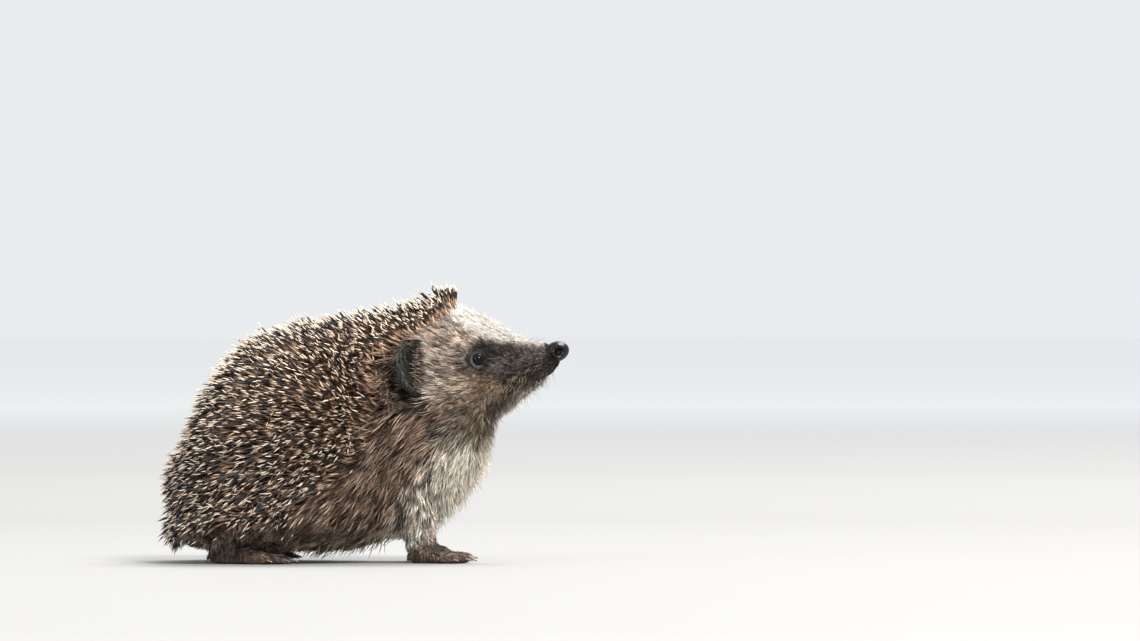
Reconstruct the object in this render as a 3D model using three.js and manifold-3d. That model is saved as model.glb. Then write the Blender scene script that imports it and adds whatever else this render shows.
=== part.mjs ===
// A European hedgehog standing still with its forebody raised and its nose lifted, at life size.
// Millimetres: +X is the way it faces, +Y its left, +Z up, and the soles stand at z = 0.
// The solids hold the outline of the coat, out to the tips of the quills and the hair.

import * as THREE from 'three';
import { ParametricGeometry } from 'three/addons/geometries/ParametricGeometry.js';
import { mergeVertices } from 'three/addons/utils/BufferGeometryUtils.js';
import Module from 'manifold-3d';

const wasm = await Module();
wasm.setup();

// ---- driving dimensions ----

const gap = 0.3;          // left between neighbouring pieces
const weld = 0.001;       // points nearer than this are one point
const tidy = 0.1;         // how far a surface may move when slivers are cleared

// Facets round each shape, and rings along it. The body's rings are counted for each station.
const facets = {
  body: [24, 2],
  haunch: [12, 7],
  shank: [9, 4],
  palm: [10, 7],
  toe: [6, 4],
  claw: [5, 3],
  tail: [8, 6],
  ear: [12, 8],
  earBowl: [12, 8],
  orbit: [10, 7],
  eye: [12, 8],
  nose: [12, 9],
  nostril: [7, 5],
};

// The body from the rump to the muzzle. Each station is a ring that leans with the spine: its
// highest and lowest points [x, z] on the outline, half its width, how far up its height it is
// widest, and how square its upper and lower halves are (2 is an ellipse).
const stations = [
  { top: [-96, 37], bottom: [-96, 37], half: 0, widest: 0.5, crown: 2, keel: 2 },          // rump
  { top: [-94, 52.5], bottom: [-95, 23], half: 21, widest: 0.48, crown: 2, keel: 2 },
  { top: [-89, 67.5], bottom: [-90.5, 14.5], half: 35, widest: 0.42, crown: 2, keel: 2.3 },
  { top: [-80.5, 85], bottom: [-82, 9.5], half: 46, widest: 0.38, crown: 2.05, keel: 2.6 },
  { top: [-66, 102.5], bottom: [-66, 8], half: 53.5, widest: 0.36, crown: 2.1, keel: 2.8 },
  { top: [-46, 112.5], bottom: [-44, 8], half: 57, widest: 0.36, crown: 2.15, keel: 2.8 }, // loin
  { top: [-22, 117], bottom: [-17, 8.5], half: 54.5, widest: 0.38, crown: 2.15, keel: 2.7 },
  { top: [-3, 121], bottom: [6, 10.5], half: 43.5, widest: 0.43, crown: 2.1, keel: 2.5 },  // shoulders
  { top: [13, 124.3], bottom: [27, 16.5], half: 31.5, widest: 0.5, crown: 2.1, keel: 2.2 },
  { top: [26, 127.8], bottom: [45, 31.5], half: 25.2, widest: 0.52, crown: 2.1, keel: 2 }, // breast
  { top: [36.5, 131.6], bottom: [55.5, 47], half: 22.8, widest: 0.5, crown: 2.1, keel: 2 }, // crest
  { top: [43.5, 123.5], bottom: [58.6, 62], half: 20.4, widest: 0.47, crown: 2.1, keel: 2 },
  { top: [51, 119.4], bottom: [63.5, 70.4], half: 16.8, widest: 0.5, crown: 2.1, keel: 1.9 }, // brow
  { top: [60.5, 116], bottom: [70, 74.6], half: 12.9, widest: 0.5, crown: 2, keel: 1.8 },
  { top: [69, 111], bottom: [77, 80], half: 9.7, widest: 0.52, crown: 2, keel: 1.8 },     // chin
  { top: [76.5, 107], bottom: [83, 84.6], half: 7.4, widest: 0.52, crown: 2, keel: 1.8 },
  { top: [82, 105.2], bottom: [87, 90.6], half: 6, widest: 0.5, crown: 2, keel: 1.9 },   // muzzle
  { top: [87, 104.6], bottom: [90.6, 94.2], half: 4.8, widest: 0.5, crown: 2, keel: 2 },
  { top: [91, 99.5], bottom: [91, 99.5], half: 0, widest: 0.5, crown: 2, keel: 2 },
];

// Where the body is parted, as lines of points [x, z] that are cut straight across it: behind the
// neck from the back to the breast, and behind the head down past the ears to the throat.
const neckLine = [[-38, 142], [54, -10]];
const headLine = [[-16, 142], [20, 84], [32, 71], [58, 63.5], [100, 55]];

// The lower jaw lies under the line from the lip to the corner, in front of the throat.
const mouth = { lip: [90, 90.6], middle: [79, 86.9], corner: [67, 80.4], throat: [61, 66], below: 55 };

const nosePad = { centre: [90.5, 0, 101], radii: [5.9, 5, 4.8], tilt: -0.35 };
const nostril = { at: [91.3, 4.7, 101.3], radii: [1.7, 1.7, 1.4], turn: 0.5 };

const eye = { at: [52.8, 15, 97.2], radius: 3.7 };
const orbit = { at: [52.8, 20.3, 97.2], radii: [5.4, 4, 4.8] };      // short hair round the lids

const ear = {
  foot: [28.6, 20.6, 78.6],      // where its lower end leaves the cheek
  crown: [25.2, 19.4, 104.4],    // where its upper end leaves the head
  reach: 24.5,                   // from the edge on the head to the outer rim
  back: -0.675,                  // the way that it reaches, backward
  out: 0.737,                    // and outward
  cup: 3.4,                      // depth of the hollow
  thick: 1.9,
  lean: 3.5,                     // how far the rim rises above the edge on the head
  lowWidth: 0.52,                // share of the reach that its lower end has
  roundness: 0.8,                // lower is blunter at both ends
};
const earBowl = { at: [22.5, 32.5, 92], radii: [12, 13.5, 16] };       // the coat parts round the ear

const leg = {
  front: {
    hip: [9, 26, 44],
    bulge: [18, 17, 26],
    path: [[10, 25, 40], [23, 20, 26], [26, 18.5, 2]],
    thick: [11, 6.2],
  },
  hind: {
    hip: [-58, 35, 31],
    bulge: [23, 20, 21],
    path: [[-56, 33, 30], [-66, 32, 18], [-69, 31, 2]],
    thick: [11, 6.4],
  },
};
const ankleHeight = 8.5;

const foot = {
  front: { heel: [20, 18.5], splay: 0.12, length: 21, width: 15, height: 7.4 },
  hind: { heel: [-75, 31], splay: 0.2, length: 31, width: 14.5, height: 7 },
};
const toe = { front: { long: 7.6, thick: 2.3, claw: 5.4 }, hind: { long: 8.2, thick: 2.4, claw: 6 } };
const pressed = 0.25;            // how far a toe is flattened by the ground

// The palm is an ellipsoid cut off by the ground: its middle as shares of the foot's length and
// height, and its radii as shares of its length, width and height.
const palm = { middle: [0.46, 0.46], radii: [0.5, 0.5, 0.62] };

// Where toes root, as shares of the foot's length and height, and how much of the length they add.
const toeRoot = { forward: 0.8, up: 0.38, reach: 0.12, swell: 1.05 };

// The five toes of a foot: their place across it, their length, their turn, how far back they root.
const toeFan = [
  { across: -0.40, share: 0.78, turn: -0.42, back: 0.26 },
  { across: -0.21, share: 0.98, turn: -0.16, back: 0.05 },
  { across: 0, share: 1.06, turn: 0, back: 0 },
  { across: 0.21, share: 0.98, turn: 0.16, back: 0.05 },
  { across: 0.40, share: 0.82, turn: 0.38, back: 0.22 },
];

const clawThick = [1.1, 0.4];
const clawBend = { middle: 0.6, end: 1.2, tipHeight: 0.8 };    // shares of its length, and its fall
const farOff = 150;              // a distance well outside the body, for the cutting solids
const tail = { path: [[-77, 0, 22], [-88, 0, 16], [-94.5, 0, 9.5]], thick: [4.6, 1.5] };

// ---- finishes ----

const finish = (color, roughness) => new THREE.MeshStandardMaterial({ color, roughness, metalness: 0 });
const quilledCoat = finish(0x6a5645, 0.75);
const faceFur = finish(0x9b8471, 0.9);
const coatFur = finish(0xa08b70, 0.9);
const pawSkin = finish(0x5a4c46, 0.7);
const earSkin = finish(0x45443c, 0.85);
const noseSkin = finish(0x15120f, 0.3);
const eyeBall = finish(0x0b0a0c, 0.08);
const clawHorn = finish(0x6e5a49, 0.45);

// ---- from geometry to solid and back ----

// A closed geometry as a solid, its doubled points merged and its collapsed facets dropped.
function toSolid(geometry) {
  const loose = geometry.clone();
  loose.deleteAttribute('normal');
  loose.deleteAttribute('uv');
  const merged = mergeVertices(loose, weld);
  const triangles = [];
  for (let i = 0; i < merged.index.count; i += 3) {
    const corner = [0, 1, 2].map((k) => merged.index.getX(i + k));
    if (new Set(corner).size === 3) triangles.push(corner);
  }
  const build = (faces) => new wasm.Manifold(new wasm.Mesh({
    numProp: 3,
    vertProperties: new Float32Array(merged.attributes.position.array),
    triVerts: new Uint32Array(faces.flat()),
  }));
  const solid = build(triangles);
  return solid.volume() > 0 ? solid : build(triangles.map(([a, b, c]) => [a, c, b]));
}

function toMesh(name, solid, material) {
  const { vertProperties, triVerts } = solid.simplify(tidy).getMesh();
  const geometry = new THREE.BufferGeometry();
  geometry.setAttribute('position', new THREE.BufferAttribute(new Float32Array(vertProperties), 3));
  geometry.setIndex(new THREE.BufferAttribute(new Uint32Array(triVerts), 1));
  geometry.computeVertexNormals();
  const mesh = new THREE.Mesh(geometry, material);
  mesh.name = name;
  return mesh;
}

// The biggest body of a solid, without crumbs that a cut has left.
const largest = (solid) => solid.decompose().sort((a, b) => b.volume() - a.volume())[0];

// A point given for the left side, on the side asked for: 1 is left, -1 is right.
const mirrored = ([x, y, z], side) => [x, y * side, z];

// ---- shapes ----

// An ellipsoid, grown all round by the given amount and turned about the upright axis.
function ellipsoid(centre, radii, fineness, grow = 0, turn = 0) {
  const ball = new THREE.SphereGeometry(1, ...fineness);
  ball.rotateX(Math.PI / 2);
  ball.scale(radii[0] + grow, radii[1] + grow, radii[2] + grow);
  ball.rotateZ(turn);
  ball.translate(...centre);
  return toSolid(ball);
}

// A round limb along a straight or bent path, its radius running evenly from one end to the other.
function limb(path, thick, fineness, grow = 0) {
  const curve = new THREE.CatmullRomCurve3(path.map((point) => new THREE.Vector3(...point)));
  const reach = curve.getLength();
  const shape = (u, v, target) => {
    const turn = u * 2 * Math.PI;
    const along = (1 - Math.cos(v * Math.PI)) / 2;
    const radius = THREE.MathUtils.lerp(thick[0], thick[1], along) + grow;
    const nearEnd = Math.min(along, 1 - along) * reach;
    const rounding = nearEnd < radius ? Math.sqrt(Math.max(0, 1 - (1 - nearEnd / radius) ** 2)) : 1;
    const way = curve.getTangentAt(along);
    const side = new THREE.Vector3(0, 1, 0).cross(way).normalize();
    const over = way.clone().cross(side);
    target.copy(curve.getPointAt(along));
    target.addScaledVector(side, Math.cos(turn) * radius * rounding);
    target.addScaledVector(over, Math.sin(turn) * radius * rounding);
  };
  return toSolid(new ParametricGeometry(shape, ...fineness));
}

// A flat-sided block between y = -reach and y = reach, whose outline in x and z is given.
function block(outline, reach = farOff) {
  const shape = new THREE.Shape(outline.map(([x, z]) => new THREE.Vector2(x, z)));
  const geometry = new THREE.ExtrudeGeometry(shape, { depth: 2 * reach, bevelEnabled: false });
  geometry.rotateX(Math.PI / 2);
  geometry.translate(0, reach, 0);
  return toSolid(geometry);
}

// Everything in front of and above a parting line, which is moved forward and up by shift.
function aheadOf(line, shift) {
  const moved = line.map(([x, z]) => [x + shift, z + shift]);
  const [[firstX], [, lastZ]] = [moved[0], moved.at(-1)];
  return block([[firstX, farOff], ...moved, [farOff, lastZ], [farOff, farOff]]);
}

// A level layer of space, from one height to another.
function layer(from, to) {
  return block([[-farOff, from], [farOff, from], [farOff, to], [-farOff, to]]);
}

// The space that the lower jaw fills, moved up and back by grow.
function jawSpace(grow) {
  const { lip, middle, corner, throat, below } = mouth;
  const edge = [lip, middle, corner, throat].map(([x, z]) => [x - grow, z + grow]);
  return block([...edge, [throat[0] - grow, below], [farOff, below], [farOff, lip[1] + grow]]);
}

// ---- the body, whole ----

const curveThrough = (read) => new THREE.CatmullRomCurve3(
  stations.map((station) => new THREE.Vector3(...read(station))), false, 'catmullrom', 0.5,
);
const topLine = curveThrough(({ top }) => [top[0], 0, top[1]]);
const bottomLine = curveThrough(({ bottom }) => [bottom[0], 0, bottom[1]]);
const widths = curveThrough(({ half, widest }) => [half, widest, 0]);
const squareness = curveThrough(({ crown, keel }) => [crown, keel, 0]);

// The coat's surface as rings along the spine, moved outward by grow, with the hollows that the
// ears and the eyes stand in.
function coatSolid(grow = 0) {
  const ring = (u, v, target) => {
    const turn = u * 2 * Math.PI;
    const [across, rise] = [Math.cos(turn), Math.sin(turn)];
    const bottom = bottomLine.getPoint(v);
    const upright = topLine.getPoint(v).sub(bottom);
    const height = upright.length();
    const [half, widest] = widths.getPoint(v).toArray();
    const [crown, keel] = squareness.getPoint(v).toArray();
    const power = 2 / (rise > 0 ? crown : keel);
    const swell = half > weld ? grow : 0;   // both ends stay closed
    const reach = height * (rise > 0 ? 1 - widest : widest) + swell;
    upright.normalize();
    target.copy(bottom).addScaledVector(upright, widest * height);
    target.addScaledVector(upright, Math.sign(rise) * Math.abs(rise) ** power * reach);
    target.y = Math.sign(across) * Math.abs(across) ** power * (half + swell);
  };
  const [around, perStation] = facets.body;
  let solid = toSolid(new ParametricGeometry(ring, around, (stations.length - 1) * perStation));
  for (const side of [1, -1]) {
    solid = solid.subtract(ellipsoid(mirrored(earBowl.at, side), earBowl.radii, facets.earBowl, -grow));
    solid = solid.subtract(ellipsoid(mirrored(orbit.at, side), orbit.radii, facets.orbit, -grow));
  }
  return solid;
}

// ---- what grows from it ----

function padOfNose(grow = 0) {
  const pad = new THREE.SphereGeometry(1, ...facets.nose);
  pad.rotateX(Math.PI / 2);
  pad.scale(...nosePad.radii.map((radius) => radius + grow));
  pad.rotateY(nosePad.tilt);
  pad.translate(...nosePad.centre);
  return toSolid(pad);
}

function nose() {
  const nostrils = [1, -1].map((side) => ellipsoid(
    mirrored(nostril.at, side), nostril.radii, facets.nostril, 0, nostril.turn * side,
  ));
  return nostrils.reduce((solid, hole) => solid.subtract(hole), padOfNose());
}

// The ear is a thin cupped leaf whose front edge lies on the head, between foot and crown.
function earLeaf(side) {
  const low = new THREE.Vector3(...mirrored(ear.foot, side));
  const high = new THREE.Vector3(...mirrored(ear.crown, side));
  const outward = new THREE.Vector3(ear.back, ear.out * side, 0).normalize();
  const upward = high.clone().sub(low).normalize();
  const face = outward.clone().cross(upward).multiplyScalar(side).normalize();
  const leaf = (u, v, target) => {
    const turn = u * 2 * Math.PI;
    const height = (1 - Math.cos(v * Math.PI)) / 2;
    const across = (1 - Math.cos(turn)) / 2;
    const bow = Math.sin(v * Math.PI);
    const width = ear.reach * bow ** ear.roundness * THREE.MathUtils.lerp(ear.lowWidth, 1, height);
    const hollow = ear.cup * 4 * across * (1 - across) * bow;
    target.copy(low).lerp(high, height);
    target.addScaledVector(outward, width * across);
    target.addScaledVector(upward, ear.lean * across * bow);
    target.addScaledVector(face, Math.sin(turn) * Math.sqrt(bow) * ear.thick / 2 - hollow);
  };
  return toSolid(new ParametricGeometry(leaf, ...facets.ear));
}

function shank(which, side, grow = 0) {
  const { path, thick } = leg[which];
  return limb(path.map((point) => mirrored(point, side)), thick, facets.shank, grow);
}

function haunch(which, side, grow = 0) {
  return ellipsoid(mirrored(leg[which].hip, side), leg[which].bulge, facets.haunch, grow);
}

// A foot's own point (forward, outward, up) placed on the animal.
function onFoot(which, side, [forward, outward, up]) {
  const { heel, splay } = foot[which];
  const turned = new THREE.Vector2(forward, outward).rotateAround(new THREE.Vector2(), splay);
  return [heel[0] + turned.x, side * (heel[1] + turned.y), up];
}

// Where each toe of a foot roots, where it ends and the way that it points.
function toes(which) {
  const { length, width, height } = foot[which];
  const { long, thick } = toe[which];
  return toeFan.map(({ across, share, turn, back }) => {
    const root = [length * (toeRoot.forward - back), across * width, height * toeRoot.up];
    const reach = long * share + length * toeRoot.reach;
    const end = [root[0] + reach * Math.cos(turn), root[1] + reach * Math.sin(turn)];
    return { root, tip: [...end, thick - pressed], turn };
  });
}

function paw(which, side) {
  const { length, width, height, splay } = foot[which];
  const { thick } = toe[which];
  const centre = onFoot(which, side, [length * palm.middle[0], 0, height * palm.middle[1]]);
  const radii = [length, width, height].map((size, i) => size * palm.radii[i]);
  const pad = ellipsoid(centre, radii, facets.palm, 0, splay * side);
  return toes(which).reduce((solid, { root, tip }) => {
    const path = [root, tip].map((point) => onFoot(which, side, point));
    return solid.add(limb(path, [thick * toeRoot.swell, thick], facets.toe));
  }, pad.add(shank(which, side)));
}

function claw(which, side, { tip, turn }, grow = 0) {
  const { claw: long, thick } = toe[which];
  const ahead = (share, up) => onFoot(which, side, [
    tip[0] + Math.cos(turn) * share * long,
    tip[1] + Math.sin(turn) * share * long,
    up,
  ]);
  const { middle, end, tipHeight } = clawBend;
  const path = [ahead(0, thick), ahead(middle, thick), ahead(end, tipHeight)];
  return limb(path, clawThick, facets.claw, grow);
}

// ---- parting the whole into its nodes ----

const hedgehog = new THREE.Group();
const place = (name, solid, material) => hedgehog.add(toMesh(name, solid, material));

let rest = coatSolid();
const roundCoat = coatSolid(gap);
const aboveAnkle = layer(ankleHeight + gap, 150);
const footLayer = layer(0, ankleHeight);

for (const [name, side] of [['left', 1], ['right', -1]]) {
  for (const which of ['front', 'hind']) {
    const upper = coatSolid().intersect(haunch(which, side)).add(shank(which, side));
    place(`leg_${which}_${name}`, upper.intersect(aboveAnkle), which === 'front' ? coatFur : quilledCoat);
    rest = rest.subtract(haunch(which, side, gap)).subtract(shank(which, side, gap));

    let sole = paw(which, side).intersect(footLayer);
    toes(which).forEach((digit, i) => {
      sole = sole.subtract(claw(which, side, digit, gap));
      place(`claw_${which}_${name}_${i + 1}`, claw(which, side, digit), clawHorn);
    });
    place(`foot_${which}_${name}`, sole, pawSkin);
  }

  place(`ear_${name}`, largest(earLeaf(side).subtract(roundCoat)), earSkin);

  const ball = (grow) => ellipsoid(mirrored(eye.at, side), Array(3).fill(eye.radius), facets.eye, grow);
  place(`eye_${name}`, ball(0), eyeBall);
  rest = rest.subtract(ball(gap));
}

place('nose', nose(), noseSkin);
place('tail', limb(tail.path, tail.thick, facets.tail), coatFur);
rest = rest.subtract(padOfNose(gap)).subtract(limb(tail.path, tail.thick, facets.tail, gap));

place('trunk', largest(rest.subtract(aheadOf(neckLine, 0))), quilledCoat);
place('neck', largest(rest.intersect(aheadOf(neckLine, gap)).subtract(aheadOf(headLine, 0))), coatFur);
place('head', largest(rest.intersect(aheadOf(headLine, gap)).subtract(jawSpace(gap))), faceFur);
place('lower_jaw', largest(rest.intersect(aheadOf(headLine, gap)).intersect(jawSpace(0))), faceFur);

export default hedgehog;
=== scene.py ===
import math
import bpy
import bmesh
import numpy as np
from mathutils import Matrix, Vector
from mathutils.kdtree import KDTree


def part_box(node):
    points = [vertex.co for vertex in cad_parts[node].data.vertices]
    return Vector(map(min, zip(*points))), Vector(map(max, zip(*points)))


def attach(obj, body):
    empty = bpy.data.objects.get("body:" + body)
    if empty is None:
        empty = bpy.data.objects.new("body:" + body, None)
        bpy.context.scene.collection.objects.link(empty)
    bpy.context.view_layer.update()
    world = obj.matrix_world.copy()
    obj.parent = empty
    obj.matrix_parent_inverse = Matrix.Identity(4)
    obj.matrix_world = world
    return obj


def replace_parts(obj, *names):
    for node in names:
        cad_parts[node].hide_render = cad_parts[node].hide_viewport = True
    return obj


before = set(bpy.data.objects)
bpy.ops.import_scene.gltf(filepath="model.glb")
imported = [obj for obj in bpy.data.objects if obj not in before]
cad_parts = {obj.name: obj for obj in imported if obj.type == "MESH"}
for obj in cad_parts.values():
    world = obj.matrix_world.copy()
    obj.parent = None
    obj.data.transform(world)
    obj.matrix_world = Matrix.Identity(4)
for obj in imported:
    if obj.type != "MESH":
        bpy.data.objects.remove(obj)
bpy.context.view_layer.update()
mm = 0.001
rng = np.random.default_rng(20)


def middle(node):
    low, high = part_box(node)
    return (low + high) / 2


def show(stage):
    print("stage:", stage, flush=True)


# The places that everything else is set out from, on the left side of the animal.
neckLow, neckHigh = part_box("neck")
anchors = {
    "nose": middle("nose"),
    "eye": middle("eye_left"),
    "ear": middle("ear_left"),
    "crest": Vector((middle("eye_left").x - 16 * mm, 0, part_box("head")[1].z)),
    "breast": Vector((neckHigh.x, 0, (neckLow.z + neckHigh.z) / 2)),
    "loin": Vector((middle("trunk").x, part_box("trunk")[1].y, middle("trunk").z)),
    "rump": Vector((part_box("trunk")[0].x, 0, middle("trunk").z)),
    "wrist": Vector((*middle("foot_front_left").xy, 0)),
    "ankle": Vector((*middle("foot_hind_left").xy, 0)),
}
for name, at in anchors.items():
    print("anchor", name, [round(c / mm, 1) for c in at])


# A point a few millimetres from an anchor.
def near(anchor, x, y, z):
    return anchors[anchor] + Vector((x, y, z)) * mm


def folded(points):
    return points * np.array([1, 0, 1]) + np.abs(points) * np.array([0, 1, 0])


def unit(vectors):
    return vectors / np.maximum(np.linalg.norm(vectors, axis=-1, keepdims=True), 1e-12)


def smooth(low, high, value):
    t = np.clip((value - low) / (high - low), 0, 1)
    return t * t * (3 - 2 * t)


# Soft irregular waves through space, from -1 to 1, about size across.
def ripple(points, size, shift=0.0):
    p = points / size * 2.2 + shift
    a = np.sin(p[:, 0] * 1.3 + 1.7 * np.sin(p[:, 1] * 0.9 + shift) + p[:, 2] * 0.4)
    b = np.sin(p[:, 1] * 1.1 + 1.9 * np.sin(p[:, 2] * 1.2 + 1) - p[:, 0] * 0.5)
    c = np.sin(p[:, 2] * 1.4 + 1.5 * np.sin(p[:, 0] * 1.1 + 2) + p[:, 1] * 0.6)
    return (a + b + c) / 3


def fromSegment(points, start, end):
    a, b = np.array(start), np.array(end)
    t = np.clip((points - a) @ (b - a) / max((b - a) @ (b - a), 1e-12), 0, 1)
    return np.linalg.norm(points - a - t[:, None] * (b - a), axis=1)


# Skin and coat both take their colour from here.
markings = [  # name, from, to, reach mm, softness mm, colour
    ("body", near("loin", 0, 0, 0), near("loin", 0, 0, 0), 900, 1, (0.2, 0.128, 0.086)),
    ("belly", near("wrist", -15, -20, 10), near("ankle", -20, -31, 10), 27, 9, (0.36, 0.28, 0.2)),
    ("breast", near("breast", -4, 0, -18), near("breast", -28, 0, -50), 25, 9, (0.86, 0.81, 0.7)),
    ("throat", near("breast", 5, 0, 1), near("breast", -8, 16, -4), 8, 7, (0.26, 0.2, 0.13)),
    ("nape", near("ear", 2, 8, -14), near("ear", -16, 12, -42), 15, 9, (0.185, 0.115, 0.078)),
    ("temple", near("eye", -8, 0, 13), near("eye", -22, 4, 7), 8, 4.5, (0.6, 0.45, 0.36)),
    ("behindEye", near("eye", -6, 1, 1), near("eye", -14, 4, -2), 5.5, 4, (0.46, 0.38, 0.34)),
    ("cheek", near("eye", 13, -4, -12), near("eye", -2, 3, -12), 5, 4, (0.28, 0.175, 0.1)),
    ("backCheek", near("eye", -9, 4, -13), near("eye", -18, 7, -12), 6, 4, (0.63, 0.49, 0.38)),
    ("jowl", near("eye", 12, -6, -19), near("eye", -14, 2, -21), 5, 5, (0.24, 0.175, 0.11)),
    ("beforeEar", near("ear", 12, -5, 10), near("ear", 12, -5, -10), 4.5, 4, (0.88, 0.69, 0.56)),
    ("chinSide", near("nose", -20, 8, -21), near("nose", -30, 9, -26), 4.5, 3.5, (0.09, 0.066, 0.04)),
    ("brow", near("eye", -9, -15, 22), near("eye", 8, -15, 16), 21, 4, (0.62, 0.5, 0.42)),
    ("forehead", near("eye", -7, -15, 24), near("eye", 8, -15, 17), 15.6, 4.5, (0.86, 0.82, 0.78)),
    ("foreheadTip", near("eye", 8, -15, 16), near("nose", -15, 0, 7), 8.1, 3, (0.8, 0.76, 0.71)),
    ("muzzleSide", near("eye", 9, -3, -2), near("nose", -8, 5, -1), 6, 3, (0.11, 0.093, 0.086)),
    ("mask", near("eye", 4, -1, 4.5), near("nose", -22, 9, -1), 5, 3.2, (0.03, 0.022, 0.018)),
    ("noseBridge", near("nose", -14, 0, 6.4), near("nose", -8, 0, 5.5), 4.8, 2, (0.75, 0.67, 0.63)),
    ("aroundEye", near("eye", 0, 0, 0), near("eye", 1, 0, 0), 5.9, 1.3, (0.045, 0.033, 0.028)),
    ("underEye", near("eye", -4, 2, -5), near("eye", 2, 1, -5.6), 2.6, 1.6, (0.04, 0.025, 0.019)),
    ("lips", near("nose", -22, 9, -12), near("nose", -3, 3, -5), 4.6, 2.2, (0.018, 0.015, 0.012)),
    ("lowerLip", near("nose", -22, 8, -18), near("nose", -7, 2, -13), 2.6, 1.6, (0.024, 0.019, 0.014)),
    ("chin", near("nose", -13, 0, -19.5), near("nose", -32, 0, -34), 5, 4.4, (0.7, 0.64, 0.53)),
    ("underNose", near("nose", -5, 0, -9), near("nose", -10.5, 0, -16.5), 4.2, 3.6, (0.05, 0.042, 0.034)),
    ("noseEdge", near("nose", 0, 0, 0), near("nose", 1, 0, 0), 6.6, 0.9, (0.014, 0.012, 0.011)),
    # Painted shade in the hollow in front of the ear.
    ("earHollowShade", near("ear", 6, -5, 8), near("ear", 7, -5, -9), 4.6, 1.6, (0.012, 0.01, 0.008)),
    ("frontLeg", near("wrist", -6, 0, 30), near("wrist", -6, 0, 2), 12, 7, (0.74, 0.65, 0.54)),
    ("hindLeg", near("ankle", -8, 0, 26), near("ankle", -10, 0, 4), 12, 6, (0.2, 0.14, 0.1)),
    ("frontPaw", near("wrist", -4, -2, 1), near("wrist", 12, 0, 1), 12, 3, (0.12, 0.083, 0.064)),
    ("hindPaw", near("ankle", -14, 0, 3), near("ankle", 16, 4, 2), 8, 3, (0.1, 0.07, 0.055)),
]
lidColour = (0.108, 0.117, 0.13)
lidRim = (4.4 * mm, 4.9 * mm)  # the lids' colour fades out between these


def markingAt(points):
    p = folded(points)
    wobble = ripple(points, 5 * mm) * 1.3 * mm + ripple(points, 2 * mm, 3.0) * 0.5 * mm
    colour = np.zeros((len(p), 3))
    for _, start, end, reach, soft, paint in markings:
        away = fromSegment(p, start, end) + wobble
        share = 1 - smooth((reach - soft) * mm, (reach + soft) * mm, away)
        colour += share[:, None] * (np.array(paint) - colour)
    rim = 1 - smooth(*lidRim, np.linalg.norm(p - np.array(anchors["eye"]), axis=1))
    above = 1 - 0.6 * smooth(-1 * mm, 3 * mm, points[:, 2:3] - anchors["eye"].z)     # painted shade: the upper lid is darker, as if shaded by the brow hair
    return colour + rim[:, None] * (np.array(lidColour) * above - colour)


# Each guide of the hair and of the quills: place, the way that the coat points there, how far it lifts
# in degrees, its length in mm.
hairGuides = [
    (near("nose", -3, 0, 4), (-1, 0, 0.2), 10, 1),
    (near("nose", -14, 0, 6), (-1, 0, 0.35), 15, 2.4),
    (near("eye", 9, -15, 17), (-1, 0, 0.45), 20, 4.4),
    (near("eye", -3, -15, 23), (-1, 0, 0.4), 24, 6),
    (near("eye", -8, -2, 15), (-1, 0.2, 0.4), 20, 5.5),
    (near("nose", -10, 6, -4), (-1, 0.25, -0.1), 10, 1.5),
    (near("nose", -25, 10, -3), (-1, 0.3, 0.05), 13, 2.2),
    (near("eye", 0, 0, 8), (-1, 0.1, 0.35), 14, 3),
    (near("eye", 0, 1, -8), (-1, 0.2, -0.4), 14, 3),
    (near("eye", 9, -2, -12), (-1, 0.3, -0.25), 16, 4.2),
    (near("eye", -11, 5, -7), (-1, 0.2, 0.1), 18, 6.5),
    (near("ear", 14, -4, 6), (-1, 0.25, 0.45), 22, 6.8),
    (near("ear", 13, -4, -7), (-1, 0.25, 0.25), 21, 7),
    (near("ear", 18, -4, -17), (-0.9, 0.2, -0.4), 20, 9),
    (near("eye", -17, 5, 12), (-1, 0.1, 0.4), 22, 7.5),
    (near("nose", -3, 0, -7), (-0.8, 0, -0.5), 10, 1.1),
    (near("nose", -9, 4, -11), (-0.9, 0.1, -0.4), 10, 1.3),
    (near("nose", -12, 0, -18), (-0.2, 0, -1), 30, 3.0),
    (near("nose", -24, 0, -27), (-0.3, 0, -0.9), 36, 5.5),
    (near("breast", 1, 8, -5), (-0.3, 0, -0.95), 28, 9),
    (near("breast", -2, 0, -22), (0.3, 0, -0.9), 46, 12),
    (near("breast", -17, 0, -42), (-0.1, 0, -1), 40, 12),
    (near("breast", -14, 18, -20), (-0.5, 0.1, -0.82), 22, 12),
    (near("ear", 6, 2, -22), (-0.74, 0.1, -0.64), 18, 17),
    (near("ear", -6, 4, -14), (-0.8, 0.1, -0.56), 17, 18),
    (near("ear", -14, 9, -38), (-0.75, 0.1, -0.6), 18, 18),
    (near("wrist", -8, 3, 24), (-0.25, 0.1, -1), 18, 7),
    (near("wrist", -6, 0, 9), (0, 0, -1), 14, 3),
    (near("wrist", 8, 0, 4), (1, 0, -0.3), 10, 1.2),
    (near("ankle", 50, 12, 29), (-0.82, 0.1, -0.55), 20, 14),
    (near("ankle", 24, 14, 19), (-0.8, 0.1, -0.6), 20, 12),
    (near("wrist", -32, -20, 11), (-1, 0, 0), 30, 12),
    (near("ankle", 40, -10, 9), (-1, 0, 0), 30, 12),
    (near("ankle", 8, -35, 10), (-1, 0, 0), 28, 10),
    (near("ankle", -2, -2, 22), (-0.3, 0.1, -0.95), 16, 6),
    (near("ankle", -10, 0, 9), (0, 0, -1), 14, 3),
    (near("ankle", 10, 0, 4), (1, 0, -0.3), 10, 1.2),
    (near("ankle", -26, -33, 14), (-0.8, 0, -0.6), 14, 5),
    (near("ankle", -26, -10, 14), (-0.8, 0.1, -0.5), 22, 8),
]
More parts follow.
